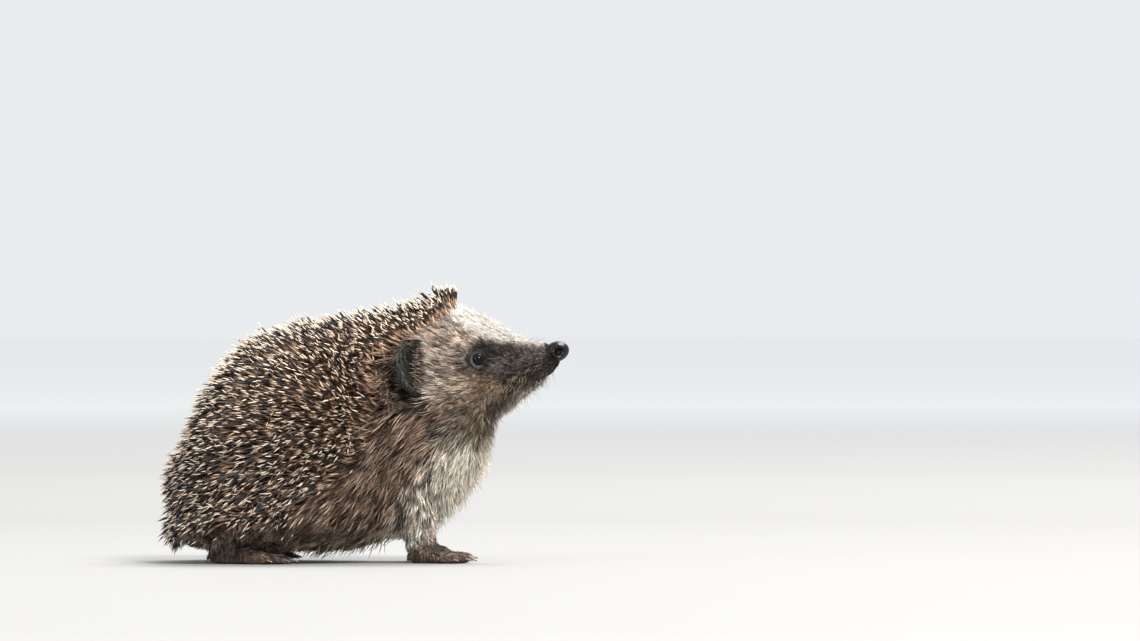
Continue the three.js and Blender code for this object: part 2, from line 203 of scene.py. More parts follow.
quillGuides = [
    (near("crest", 3, 0, -9), (-1, 0, 0.1), 74, 13),
    (near("crest", -1, 9, -14), (-0.8, 0.1, 0.6), 52, 14),
    (near("crest", -8, 17, -20), (-0.65, 0.1, 0.75), 34, 15),
    (near("crest", -14, 0, -14), (-1, 0, 0), 62, 16),
    (near("crest", -24, 20, -26), (-0.85, 0.15, 0.5), 32, 18),
    (near("crest", -30, 0, -18), (-1, 0, 0), 56, 17),
    (near("crest", -50, 0, -22), (-1, 0, 0), 50, 18.5),
    (near("loin", 30, -29, 32), (-1, 0.1, 0.35), 36, 19),
    (near("loin", -14, -57, 42), (-1, 0, 0), 48, 19),
    (near("loin", -14, -24, 30), (-1, 0.15, 0.2), 34, 20),
    (near("loin", 12, -8, 4), (-1, 0.1, -0.16), 23, 21),
    (near("loin", -24, -5, 0), (-1, 0.1, -0.12), 23, 21),
    (near("loin", 0, -6, -26), (-0.85, 0.1, -0.5), 24, 20),
    (near("loin", -30, -8, -38), (-0.9, 0.1, -0.45), 26, 19),
    (near("rump", 22, 0, 30), (-1, 0, -0.2), 48, 18),
    (near("rump", 7, 0, 4), (-0.4, 0, -0.6), 52, 17),
    (near("rump", 14, 32, 0), (-1, 0.2, -0.15), 40, 18),
    (near("rump", 3, 0, -31), (-0.4, 0, -0.9), 26, 14),
    (near("rump", 8, 14, -38), (-0.5, 0.1, -0.85), 24, 13),
    (near("rump", 14, 30, -36), (-0.8, 0.2, -0.5), 26, 16),
]


# The guides' values at each point, the nearer ones counting for more.
def guided(points, guides):
    p = folded(points)
    places = np.array([g[0][:] for g in guides])
    values = np.array([[*Vector(g[1]).normalized(), g[2], g[3]] for g in guides])
    away = np.linalg.norm(p[:, None] - places[None], axis=2) + 2 * mm
    weight = away ** -3.5
    found = weight @ values / weight.sum(1, keepdims=True)
    way = found[:, :3].copy()
    way[:, 1] *= np.sign(points[:, 1])
    return unit(way), np.radians(found[:, 3]), found[:, 4] * mm


# The front edge of the quills, seen from the side, as [behind the eye, over the floor] in mm.
quillEdge = [(86, 15), (79, 29), (68, 39), (56, 47.5), (48, 58), (45, 72), (44, 86), (40.5, 100),
             (32, 110), (19.5, 115), (10.5, 121)]
quillHem = 11 * mm             # the lowest roots
bareThigh, bareTail = 9 * mm, 7 * mm
thighRear, thighFront = near("ankle", -12, 0, 11), near("ankle", 8, 0, 15)
tailRoot, tailTip = middle("tail") + Vector((7, 0, 4)) * mm, middle("tail") - Vector((10, 0, 5)) * mm


# More than 0 where quills grow, in metres from their edge, for points on the outside of the coat.
def quillField(points, normals):
    behind = np.interp(points[:, 2], [z * mm for _, z in quillEdge],
                       [anchors["eye"].x - x * mm for x, _ in quillEdge])
    field = behind - points[:, 0] + 1.6 * mm * ripple(points, 9 * mm, 5.0)
    under = (normals[:, 2] + 0.5) * 30 * mm
    field = np.minimum(np.minimum(field, under), points[:, 2] - quillHem)
    field = np.minimum(field, fromSegment(folded(points), thighRear, thighFront) - bareThigh)
    return np.minimum(field, fromSegment(points, tailRoot, tailTip) - bareTail)


# How deep the coat is over the skin.
def coatAt(points, normals):
    share = smooth(-4 * mm, 5 * mm, quillField(points, normals))
    _, hairLift, hairLong = guided(points, hairGuides)
    _, quillLift, quillLong = guided(points, quillGuides)
    hair = np.sin(hairLift) * hairLong * (0.85 - 0.35 * breastShare(points))
    hair *= 0.15 + 0.85 * smooth(7 * mm, 14 * mm, points[:, 2])
    quill = np.sin(quillLift) * quillLong * quillSink(points, normals)
    return hair + share * (quill - hair)


# 1 on the breast, where the tips of the hair stand out as a fringe.
def breastShare(points):
    away = fromSegment(points, near("breast", 3, 0, -8), near("breast", -22, 0, -50))
    return 1 - smooth(12 * mm, 26 * mm, away)


# The share of the quills' height that lies under the outline.
def quillSink(points, normals):
    behind = smooth(near("rump", 62, 0, 0).x, near("rump", 20, 0, 0).x, points[:, 0])
    return 0.86 + 0.26 * np.maximum(behind, normals[:, 1] ** 2)


# The outside of the coat over points of the skin.
def grownOut(points, normals):
    return points + normals * coatAt(points + normals * 6 * mm, normals)[:, None]


skinShape = {
    "swell": 0.35 * mm,        # closes the cuts between the flesh nodes
    "firstVoxel": 1.1 * mm,
    "voxel": 0.98 * mm,
    "bodyPasses": 18,
    "fineSteps": 2,            # passes on the paws and the tip of the muzzle
    "lastPasses": 3,
    "toe": (3.6, 1.9, 2.0),    # half a toe's length, width and height in mm
    "padRoom": 3.6 * mm,       # how far the tip is pushed in under the nose pad,
    "padReach": (6.8 * mm, 5 * mm),         # how near to the pad's centre that starts and is full,
    "padLevel": (-3.9 * mm, -2.3 * mm),     # and from how far below it
    "fullness": [              # rounded lumps that fill out the muzzle: place, radii in mm
        (near("nose", -7, 0, -0.8), (8, 4.6, 4.8)),
        (near("nose", -3.3, 0, -4.7), (5.2, 3.4, 3.2)),
        (near("nose", -6.2, 0, -7.4), (5.6, 4.3, 4.2)),
    ],
}
pawTop = 9 * mm
muzzleTip = 17 * mm            # the shape stays crisp this near to the nose
padCentre = near("nose", 1.5, 0, 0)
legNames = [f"{part}_{which}_{side}" for part in ("leg", "foot") for which in ("front", "hind")
            for side in ("left", "right")]
flesh = ["trunk", "neck", "head", "lower_jaw", "tail", *legNames]
clawList = [(which, side, number) for which in ("front", "hind") for side in ("left", "right")
            for number in range(1, 6)]


def newObject(name, form):
    mesh = bpy.data.meshes.new(name)
    form.to_mesh(mesh)
    form.free()
    thing = bpy.data.objects.new(name, mesh)
    bpy.context.scene.collection.objects.link(thing)
    return thing


def remeshed(thing, voxel):
    step = thing.modifiers.new("voxels", "REMESH")
    step.mode = "VOXEL"
    step.voxel_size = voxel
    solid = bpy.data.meshes.new_from_object(thing.evaluated_get(bpy.context.evaluated_depsgraph_get()))
    thing.modifiers.clear()
    thing.data = solid
    form = bmesh.new()
    form.from_mesh(solid)
    return form


# Keeps the biggest connected surface and drops the rest.
def keepBiggest(form):
    form.verts.index_update()
    seen, shells = set(), []
    for first in form.verts:
        if first.index in seen:
            continue
        shell, queue = [], [first]
        seen.add(first.index)
        while queue:
            vert = queue.pop()
            shell.append(vert)
            for edge in vert.link_edges:
                other = edge.other_vert(vert)
                if other.index not in seen:
                    seen.add(other.index)
                    queue.append(other)
        shells.append(shell)
    shells.sort(key=len)
    for shell in shells[:-1]:
        bmesh.ops.delete(form, geom=shell, context="VERTS")


def places(form):
    return np.array([v.co[:] for v in form.verts])


def putBack(form, points):
    for vert, point in zip(form.verts, points):
        vert.co = point


def soften(form, verts, passes):
    for _ in range(passes):
        bmesh.ops.smooth_vert(form, verts=verts, factor=0.5,
                              use_axis_x=True, use_axis_y=True, use_axis_z=True)


# The vertices of the body, and those of the paws and the tip of the muzzle.
def coarseAndFine(form):
    fine = [v for v in form.verts if v.co.z < pawTop or (v.co - anchors["nose"]).length < muzzleTip]
    chosenFine = set(fine)
    return [v for v in form.verts if v not in chosenFine], fine


eyeShape = {
    "ball": (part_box("eye_left")[1].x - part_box("eye_left")[0].x) / 2,
    "outward": Vector((0.26, 1, 0.1)).normalized(),
    "opening": (3.15 * mm, 2.85 * mm),      # half its length and half its height
    "lidTop": 2.1 * mm,                    # over the middle of the ball
    "lidReach": 9 * mm,                    # the skin is made finer this near to the eye
    "underBall": 0.72,                     # the skin's height behind the ball, as a share of it
    "lidEdge": 1.5,                        # the lids' outer edge and the end of their slope,
    "lidFoot": 2.45,                       # as shares of the opening
    "corner": 0.35,                        # how far the front corner is drawn out
}


def sided(vector, side):
    return Vector((vector[0], vector[1] * side, vector[2]))


def eyeAxes(side):
    outward = sided(eyeShape["outward"], side)
    forward = (Vector((1, 0, 0)) - outward * outward.x).normalized()
    return forward, outward.cross(forward) * side * -1, outward


def refine(form, near, cuts):
    edges = [e for e in form.edges if all(near(v.co) for v in e.verts)]
    bmesh.ops.subdivide_edges(form, edges=edges, cuts=cuts, use_grid_fill=True)
    form.normal_update()


# How far out a point on the face is, counted in openings of the lids.
def openingShare(point, side):
    forward, upward, outward = eyeAxes(side)
    away = point - sided(anchors["eye"], side)
    a, b, out = away.dot(forward), away.dot(upward), away.dot(outward)
    long, high = eyeShape["opening"]
    drawn = 1 + eyeShape["corner"] * max(0, a / (abs(a) + abs(b) * 2.2 + 1e-9)) ** 2
    return math.hypot(a / (long * drawn), b / high), math.hypot(a, b), out


def lids(form, side):
    centre = sided(anchors["eye"], side)
    outward = eyeAxes(side)[2]
    ball, top = eyeShape["ball"], eyeShape["lidTop"]
    edge, foot = eyeShape["lidEdge"], eyeShape["lidFoot"]

    def facing(point):
        away = point - centre
        return away.length < eyeShape["lidReach"] and away.dot(outward) > -2 * mm

    refine(form, facing, 2)
    for vert in form.verts:
        if not facing(vert.co):
            continue
        share, spread, out = openingShare(vert.co, side)
        if share > foot:
            continue
        if share < 1:
            height = math.sqrt(max(ball ** 2 - spread ** 2, 0)) * eyeShape["underBall"]
            height += (top - height) * max(0, (share - 0.9) / 0.1) ** 2
        elif share < edge:
            across = (share - 1) / (edge - 1)
            height = top - 0.55 * mm * across ** 1.5 + 0.1 * mm * math.sin(across * math.pi)
        else:
            down = (share - edge) / (foot - edge)
            down = down * down * (3 - 2 * down)
            height = (top - 0.55 * mm) * (1 - down) + out * down
        vert.co += outward * (height - out)


mouthShape = {
    "path": [near("nose", -4.5, 0.5, -11.5), near("nose", -7.5, 3.8, -12.6), near("nose", -12, 6, -14.4),
             near("nose", -18, 8.6, -17), near("nose", -24, 11.5, -20.6)],
    "wide": 0.75 * mm,
    "deep": 0.85 * mm,
}


def alongPath(points, path):
    return np.min([fromSegment(points, a, b) for a, b in zip(path, path[1:])], axis=0)


# The line between the lips.
def lipLine(form, side):
    path = [sided(point, side) for point in mouthShape["path"]]

    def onLips(point):
        return any((point - place).length < 5 * mm for place in path)

    refine(form, onLips, 1)
    form.verts.ensure_lookup_table()
    points = places(form)
    away = alongPath(points, path)
    for i in np.nonzero(away < 3 * mouthShape["wide"])[0]:
        dent = math.exp(-(away[i] / mouthShape["wide"]) ** 2) * mouthShape["deep"]
        form.verts[i].co -= form.verts[i].normal * dent


def skin():
    form = bmesh.new()
    for name in flesh:
        form.from_mesh(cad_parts[name].data)
    lumps = [(place, 0, radii) for place, radii in skinShape["fullness"]]
    for which, side, number in clawList:
        claw, foot = f"claw_{which}_{side}_{number}", middle(f"foot_{which}_{side}")
        low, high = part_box(claw)
        ahead = ((low + high) / 2 - foot).xy.normalized()
        half = (high - low).xy / 2
        reach = min(half.x / max(abs(ahead.x), 0.01), half.y / max(abs(ahead.y), 0.01))
        root = (low + high).xy / 2 - ahead * (reach + 0.7 * mm)
        place = Vector((*root, skinShape["toe"][2] * mm + 0.1 * mm))
        lumps.append((place, math.atan2(ahead.y, ahead.x), skinShape["toe"]))
    for place, turn, radii in lumps:
        shape = Matrix.Translation(place) @ Matrix.Rotation(turn, 4, "Z")
        shape = shape @ Matrix.Diagonal((*[r * mm for r in radii], 1))
        bmesh.ops.create_uvsphere(form, u_segments=24, v_segments=16, radius=1, matrix=shape)
    bmesh.ops.remove_doubles(form, verts=form.verts, dist=1e-6)
    form.normal_update()
    for vert in form.verts:
        vert.co += vert.normal * skinShape["swell"]
    body = newObject("skin", form)
    form = remeshed(body, skinShape["firstVoxel"])
    keepBiggest(form)
    coarse, fine = coarseAndFine(form)
    soften(form, coarse, skinShape["bodyPasses"])
    soften(form, fine, skinShape["fineSteps"])
    form.normal_update()
    points = places(form)
    normals = np.array([v.normal[:] for v in form.verts])
    putBack(form, points - normals * coatAt(points, normals)[:, None])
    form.to_mesh(body.data)
    form.free()
    form = remeshed(body, skinShape["voxel"])
    keepBiggest(form)
    coarse, fine = coarseAndFine(form)
    soften(form, coarse, skinShape["lastPasses"])
    soften(form, fine, 1)
    form.normal_update()
    for vert in form.verts:
        share = smooth(*skinShape["padReach"], (vert.co - padCentre).length)
        share *= smooth(*skinShape["padLevel"], vert.co.z - padCentre.z)
        vert.co -= vert.normal * skinShape["padRoom"] * float(share)
        vert.co.z = max(vert.co.z, 0)
    for side in (1, -1):
        lids(form, side)
        lipLine(form, side)
    form.to_mesh(body.data)
    form.free()
    for face in body.data.polygons:
        face.use_smooth = True
    return body


show("skin")
skinPiece = skin()
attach(skinPiece, "root")
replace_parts(skinPiece, *flesh)
print("skin faces", len(skinPiece.data.polygons))


def storeColour(mesh, colours):
    solid = np.hstack([colours, np.ones((len(colours), 1))]).astype(np.float32)
    layer = mesh.color_attributes.new("marking", "FLOAT_COLOR", "POINT")
    layer.data.foreach_set("color", solid.ravel())


def storeNumber(mesh, name, values):
    mesh.attributes.new(name, "FLOAT", "POINT").data.foreach_set("value", values.astype(np.float32))


def newFinish(name, roughness, **sockets):
    finish = bpy.data.materials.new(name)
    finish.use_nodes = True
    shader = finish.node_tree.nodes["Principled BSDF"]
    shader.inputs["Roughness"].default_value = roughness
    for socket, value in sockets.items():
        shader.inputs[socket.replace("_", " ")].default_value = value
    return finish, finish.node_tree, shader


def addNode(tree, kind, **settings):
    made = tree.nodes.new(kind)
    for key, value in settings.items():
        setattr(made, key, value)
    return made


def attribute(tree, name):
    return addNode(tree, "ShaderNodeAttribute", attribute_name=name)


def multiplied(tree, colour, factor, amount=1.0):
    mix = addNode(tree, "ShaderNodeMix", data_type="RGBA", blend_type="MULTIPLY")
    mix.inputs["Factor"].default_value = amount
    tree.links.new(colour, mix.inputs[6])
    tree.links.new(factor, mix.inputs[7])
    return mix.outputs[2]


def ramp(tree, value, stops):
    made = addNode(tree, "ShaderNodeValToRGB")
    elements = made.color_ramp.elements
    while len(elements) < len(stops):
        elements.new(1)
    for element, (at, colour) in zip(elements, stops):
        element.position = at
        element.color = (*colour, 1) if isinstance(colour, tuple) else (colour, colour, colour, 1)
    tree.links.new(value, made.inputs["Fac"])
    return made.outputs["Color"]


def grain(tree, scale, detail=3.0):
    where = addNode(tree, "ShaderNodeTexCoord")
    made = addNode(tree, "ShaderNodeTexNoise")
    made.inputs["Scale"].default_value = scale
    made.inputs["Detail"].default_value = detail
    tree.links.new(where.outputs["Object"], made.inputs["Vector"])
    return made.outputs["Fac"]


def relief(tree, shader, height, strength, distance):
    bump = addNode(tree, "ShaderNodeBump")
    bump.inputs["Strength"].default_value = strength
    bump.inputs["Distance"].default_value = distance
    tree.links.new(height, bump.inputs["Height"])
    tree.links.new(bump.outputs["Normal"], shader.inputs["Normal"])


def skinFinish():
    finish, tree, shader = newFinish("furredSkin", 0.85, Specular_IOR_Level=0.2)
    spots = ramp(tree, grain(tree, 900, 4), [(0.3, 0.45), (0.7, 0.95)])
    tint = multiplied(tree, attribute(tree, "marking").outputs["Color"], spots)
    tree.links.new(tint, shader.inputs["Base Color"])
    relief(tree, shader, grain(tree, 1500, 3), 0.6, 0.0006)
    return finish


def hairFinish():
    finish, tree, shader = newFinish("hair", 0.55, Specular_IOR_Level=0.3)
    # Painted shade: each strand darkens towards its root, as if shaded deep in the coat; the paler tips are
    # the hair's own colour.
    along = ramp(tree, attribute(tree, "along").outputs["Fac"], [(0, 0.14), (0.5, 0.8), (1, 1.32)])
    tint = multiplied(tree, attribute(tree, "marking").outputs["Color"], along)
    tree.links.new(tint, shader.inputs["Base Color"])
    return finish


# The quills' bands: tan, a dark band and a pale tip. The first stop darkens the root, partly the base's own
# brown and partly painted shade deep in the coat.
quillBands = [(0, (0.06, 0.036, 0.024)), (0.43, (0.53, 0.385, 0.285)), (0.53, (0.14, 0.08, 0.05)),
              (0.59, (0.011, 0.008, 0.007)), (0.81, (0.013, 0.009, 0.008)), (0.86, (0.68, 0.56, 0.44)),
              (1, (1, 0.95, 0.86))]


def quillFinish():
    finish, tree, shader = newFinish("quill", 0.42, Specular_IOR_Level=0.45)
    bands = ramp(tree, attribute(tree, "along").outputs["Fac"], quillBands)
    tint = multiplied(tree, bands, attribute(tree, "marking").outputs["Color"])
    tree.links.new(tint, shader.inputs["Base Color"])
    return finish


# The skin as triangles, for choosing roots.
class Ground:
    def __init__(self, piece):
        mesh = piece.data
        mesh.calc_loop_triangles()
        count = len(mesh.vertices)
        self.points = np.empty(count * 3)
        mesh.vertices.foreach_get("co", self.points)
        self.points = self.points.reshape(-1, 3)
        self.normals = np.empty(count * 3)
        mesh.vertices.foreach_get("normal", self.normals)
        self.normals = self.normals.reshape(-1, 3)
        self.corners = np.empty(len(mesh.loop_triangles) * 3, np.int32)
        mesh.loop_triangles.foreach_get("vertices", self.corners)
        self.corners = self.corners.reshape(-1, 3)
        loops = np.empty(len(mesh.loop_triangles) * 3, np.int32)
        mesh.loop_triangles.foreach_get("loops", loops)
        flat = np.empty(len(mesh.loops) * 2)
        mesh.uv_layers["OFBake"].data.foreach_get("uv", flat)
        self.flat = flat.reshape(-1, 2)[loops].reshape(-1, 3, 2)
        a, b, c = (self.points[self.corners[:, k]] for k in range(3))
        self.areas = np.linalg.norm(np.cross(b - a, c - a), axis=1) / 2
        self.middles = (a + b + c) / 3
        self.facing = unit(self.normals[self.corners].sum(1))

    # Random roots, more of them where the weight is higher.
    def scatter(self, count, weight):
        total = np.cumsum(self.areas * weight)
        face = np.searchsorted(total, rng.random(count) * total[-1])
        u, v = rng.random((2, count, 1))
        over = u + v > 1
        u, v = np.where(over, 1 - u, u), np.where(over, 1 - v, v)
        share = np.stack([1 - u - v, u, v], 1)
        return {
            "at": (self.points[self.corners[face]] * share).sum(1),
            "normal": unit((self.normals[self.corners[face]] * share).sum(1)),
            "flat": (self.flat[face] * share).sum(1),
        }


def chosen(roots, keep):
    return {key: value[keep] for key, value in roots.items()}


# Leaves no two roots nearer than the spacing at the later one.
def spaced(roots, spacing):
    taken, keep = {}, []
    widest = spacing.max()
    cells = np.floor(roots["at"] / widest).astype(int)
    around = [(dx, dy, dz) for dx in (-1, 0, 1) for dy in (-1, 0, 1) for dz in (-1, 0, 1)]
    spots = roots["at"].tolist()
    for i, (cell, (x, y, z), gap) in enumerate(zip(cells.tolist(), spots, (spacing ** 2).tolist())):
        close = False
        for dx, dy, dz in around:
            for ox, oy, oz in taken.get((cell[0] + dx, cell[1] + dy, cell[2] + dz), ()):
                if (ox - x) ** 2 + (oy - y) ** 2 + (oz - z) ** 2 < gap:
                    close = True
                    break
            if close:
                break
        if not close:
            taken.setdefault(tuple(cell), []).append((x, y, z))
            keep.append(i)
    return chosen(roots, np.array(keep))


patch = 0.003                  # each strand's place in the bake map is this far across


# Every strand is a tapering rod with one ring of corners at each step and a pointed end.
def strands(name, roots, steps, sides, finish):
    count = len(roots["at"])
    rings, size = len(steps), sides * len(steps) + 1
    normal, way = roots["normal"], roots["way"]
    rise = np.arcsin(np.clip((way * normal).sum(1), 0, 1))      # a strand never lies far below its way
    roots["lift"] = np.maximum(roots["lift"], 0.8 * rise)
    lie = unit(way - (way * normal).sum(1, keepdims=True) * normal)
    side = np.cross(normal, lie)
    long, lift = roots["long"][:, None], roots["lift"][:, None]
    bend, sway, thick = roots["bend"][:, None], roots["sway"][:, None], roots["thick"][:, None]

    def centre(s):
        up = np.sin(lift) * s - bend * s * s
        return roots["at"] + long * (lie * np.cos(lift) * s + normal * up + side * sway * s * s)

    def heading(s):
        return unit(lie * np.cos(lift) + normal * (np.sin(lift) - 2 * bend * s) + side * 2 * sway * s)

    points = np.empty((count, size, 3))
    turn = roots["turn"][:, None]
    for k, (s, width) in enumerate(steps):
        ahead = heading(s)
        across = unit(side - (side * ahead).sum(1, keepdims=True) * ahead)
        over = np.cross(ahead, across)
        for j in range(sides):
            angle = turn + 2 * math.pi * j / sides
            points[:, k * sides + j] = centre(s) + thick * width / 2 * (
                np.cos(angle) * across + np.sin(angle) * over)
    points[:, -1] = centre(1.0)
    above = points[:, :, 2].min(1) > 0.3 * mm
    if not above.all():
        return strands(name, chosen(roots, above), steps, sides, finish)

    corners, spots = [], []
    for k in range(rings - 1):
        low, high = steps[k][0], steps[k + 1][0]
        for j in range(sides):
            a, b = k * sides + j, k * sides + (j + 1) % sides
            left, right = j / sides, (j + 1) / sides
            corners += [(a, b, b + sides), (a, b + sides, a + sides)]
            spots += [((left, low), (right, low), (right, high)), ((left, low), (right, high), (left, high))]
    last, low = (rings - 1) * sides, steps[-1][0]
    for j in range(sides):
        corners.append((last + j, last + (j + 1) % sides, size - 1))
        spots.append(((j / sides, low), ((j + 1) / sides, low), ((j + 0.5) / sides, 1)))
    for j in range(1, sides - 1):
        corners.append((0, j + 1, j))
        spots.append(((0, 0), ((j + 1) / sides, 0.1), (j / sides, 0)))
    corners, spots = np.array(corners), np.array(spots)

    faces = (corners[None] + (np.arange(count) * size)[:, None, None]).reshape(-1)
    mesh = bpy.data.meshes.new(name)
    mesh.vertices.add(count * size)
    mesh.vertices.foreach_set("co", points.reshape(-1))
    mesh.loops.add(len(faces))
    mesh.loops.foreach_set("vertex_index", faces.astype(np.int32))
    mesh.polygons.add(len(faces) // 3)
    mesh.polygons.foreach_set("loop_start", np.arange(0, len(faces), 3, dtype=np.int32))
    mesh.polygons.foreach_set("use_smooth", np.ones(len(faces) // 3, bool))
    flat = roots["flat"][:, None, None, :] + (spots[None] - 0.5) * patch
    mesh.uv_layers.new(name="OFBake").data.foreach_set("uv", flat.reshape(-1).astype(np.float32))
    along = np.array([s for s, _ in steps for _ in range(sides)] + [1.0])
    shift = roots.get("shift", np.zeros(count))[:, None]
    storeNumber(mesh, "along", np.clip(along + shift * along, 0, 1).reshape(-1))
    storeColour(mesh, np.repeat(roots["colour"], size, axis=0))
    mesh.update(calc_edges=True)
    mesh.materials.append(finish)
    piece = bpy.data.objects.new(name, mesh)
    bpy.context.scene.collection.objects.link(piece)
    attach(piece, "root")
    print(name, count, "strands,", len(faces) // 3, "triangles")
    return piece


def unwrap(piece):
    piece.data.uv_layers.new(name="OFBake")
    bpy.context.view_layer.objects.active = piece
    piece.select_set(True)
    bpy.ops.object.mode_set(mode="EDIT")
    bpy.ops.mesh.select_all(action="SELECT")
    bpy.ops.uv.smart_project(angle_limit=math.radians(70), island_margin=0.002)
    bpy.ops.object.mode_set(mode="OBJECT")
    piece.select_set(False)


show("unwrap")
unwrap(skinPiece)
ground = Ground(skinPiece)
deep = smooth(0.8 * mm, 3 * mm, coatAt(ground.points, ground.normals))[:, None]     # painted shade: the skin is darker where the coat over it is deep, as if shaded by the fur
storeColour(skinPiece.data, markingAt(ground.points) * (1 - 0.6 * deep))
skinPiece.data.materials.append(skinFinish())

quillCoat = {
    "candidates": 60000,
    "spacing": 1.78 * mm,
    "crestSpacing": 1.45 * mm,
    "thick": 1.05 * mm,
    "steps": [(0, 0.5), (0.1, 0.85), (0.5, 1), (0.8, 0.76), (0.93, 0.36)],
    "sides": 5,
    "stray": 0.3,
    "tints": [(1, 0.97, 0.95), (1.02, 0.88, 0.75)],     # each quill has its own mix of the two
}


def quills():
    weight = (quillField(grownOut(ground.middles, ground.facing), ground.facing) > 0) * 1.0
    roots = ground.scatter(quillCoat["candidates"], weight)
    fromCrest = np.linalg.norm(roots["at"] - np.array(near("crest", -6, 0, -12)), axis=1)
    roots = spaced(roots, quillCoat["crestSpacing"] + (quillCoat["spacing"] - quillCoat["crestSpacing"]) *
                   smooth(14 * mm, 34 * mm, fromCrest))
    count = len(roots["at"])
    way, lift, long = guided(roots["at"], quillGuides)
    spread = rng.normal(0, quillCoat["stray"], (count, 3))
    spread += 0.2 * np.stack([ripple(roots["at"], 13 * mm, shift) for shift in (1.0, 4.0, 7.0)], 1)
    roots["way"] = unit(way + spread)
    roots["lift"] = np.clip(lift + rng.normal(0, 0.14, count), 0.16, 1.45)
    roots["long"] = long * rng.uniform(0.82, 1.08, count)
    roots["thick"] = quillCoat["thick"] * rng.uniform(0.8, 1.12, count)
    roots["bend"] = rng.uniform(0.0, 0.12, count) * np.sin(roots["lift"])
    roots["sway"] = rng.normal(0, 0.06, count)
    roots["turn"] = rng.uniform(0, 6.28, count)
    roots["shift"] = rng.normal(0, 0.035, count)        # no two quills change colour at the same place
    warmth = rng.uniform(0, 1, (count, 1))
    tone = rng.uniform(0.55, 1.2, (count, 1))
    tone *= 0.76 + 0.42 * smooth(45 * mm, 118 * mm, roots["at"][:, 2:3])        # painted shade: darker low on the sides, as if lit from above
    cold, warm = (np.array(colour) for colour in quillCoat["tints"])
    roots["colour"] = tone * (cold * (1 - warmth) + warm * warmth)
    finish = quillFinish()
    right = roots["at"][:, 1] < 0
    for name, part in (("quillsRight", right), ("quillsLeft", ~right)):
        piece = strands(name, chosen(roots, part), quillCoat["steps"], quillCoat["sides"], finish)


show("quills")
quills()

hairCoat = {
    "face": {
        "count": 48500,
        "thick": 0.28 * mm,
        "steps": [(0, 0.9), (0.5, 0.9)],
        "labels": ["cheek", "muzzle"],
        "lines": [56],                  # where one piece ends and the next starts, in mm
        "lockContrast": 0.48,
        "pale": (0.26, 0.72),           # share that is much paler, and how much
        "dark": (0.36, 0.78),           # the same for much darker, partly painted shade in the gaps between locks
        "slot": "face_fur",
    },
    "body": {
        "count": 46500,
        "thick": 0.37 * mm,
        "steps": [(0, 0.8), (0.35, 1), (0.7, 0.75)],
        "labels": ["rump", "flank", "breast"],
        "lines": [-38, 8],
        "lockContrast": 0.7,
        "pale": (0.3, 0.9),
        "dark": (0.4, 0.85),
        "slot": "coat_fur",
    },
    "stray": 0.07,                      # share that stands away from the rest
    "fringe": 0.2,                      # and how much more on the breast
    "paleColour": (0.78, 0.6, 0.47),
}
bareEye, bareNose, bareEar, bareSole = 4.5 * mm, 5.6 * mm, 4.5 * mm, 2 * mm


# 1 where hair grows, 0 on the eye, the nose pad, the hollow of the ear and the soles.
def hairField(points, normals):
    p = folded(points)
    quilled = quillField(grownOut(points, normals), normals)
    grows = 1 - smooth(1 * mm, 9 * mm, quilled) * 0.97
    eyeAway = np.linalg.norm(p - np.array(anchors["eye"]), axis=1)
    grows *= eyeAway > bareEye
    grows *= np.linalg.norm(p - np.array(padCentre), axis=1) > bareNose
    grows *= fromSegment(p, near("ear", 7, -6, -7), near("ear", 5, -7, 9)) > bareEar
    grows *= points[:, 2] > bareSole
    return grows


# 1 on the head, 0 on the body.
def headShare(points):
    line = (points[:, 0] - anchors["ear"].x) + 0.75 * (points[:, 2] - anchors["ear"].z)
    return smooth(-2 * mm, 2 * mm, line - 4 * mm)


# Neighbours lean together into locks. The middle strand of each one's lock is given back.
def gathered(roots):
    count = len(roots["at"])
    centres = rng.choice(count, count // 12, replace=False)
    tree = KDTree(len(centres))
    for i in centres:
        tree.insert(roots["at"][i], i)
    tree.balance()
    nearest = np.array([tree.find(at)[1] for at in roots["at"]])
    normal = roots["normal"]
    lie = unit(roots["way"] - (roots["way"] * normal).sum(1, keepdims=True) * normal)
    side = np.cross(normal, lie)
    pull = ((roots["at"][nearest] - roots["at"]) * side).sum(1)
    roots["sway"] = np.clip(0.9 * pull / roots["long"], -0.35, 0.35) + rng.normal(0, 0.04, count)
    return nearest


# The markings, with locks and strands that are paler or darker than their neighbours.
def hairColours(roots, kind, nearest, lot):
    count, contrast = len(lot), kind["lockContrast"]
    colour = markingAt(roots["at"])
    even = 1 - 0.82 * smooth(0.45, 0.75, colour.min(1))      # the white hair varies least
    shade = np.clip(rng.normal(0, contrast, count), -1.4 * contrast, 0.9 * contrast)
    tone = np.exp(even * (shade[nearest] + rng.normal(-0.04, 0.22, count)))
    # Partly painted shade: the much darker strands stand for the coat's dark under-colour and for the shade
    # in the gaps between locks.
    dark = np.where(lot < kind["dark"][0], 1 - kind["dark"][1] * even, 1)
    colour *= (dark * tone)[:, None]
    mix = np.where(lot > 1 - kind["pale"][0], kind["pale"][1], 0)[:, None] * rng.uniform(0.6, 1, (count, 1))
    colour += mix * (np.array(hairCoat["paleColour"]) * (0.17 + 1.35 * colour.max(1, keepdims=True)) - colour)
    return np.clip(colour, 0.005, 0.95)


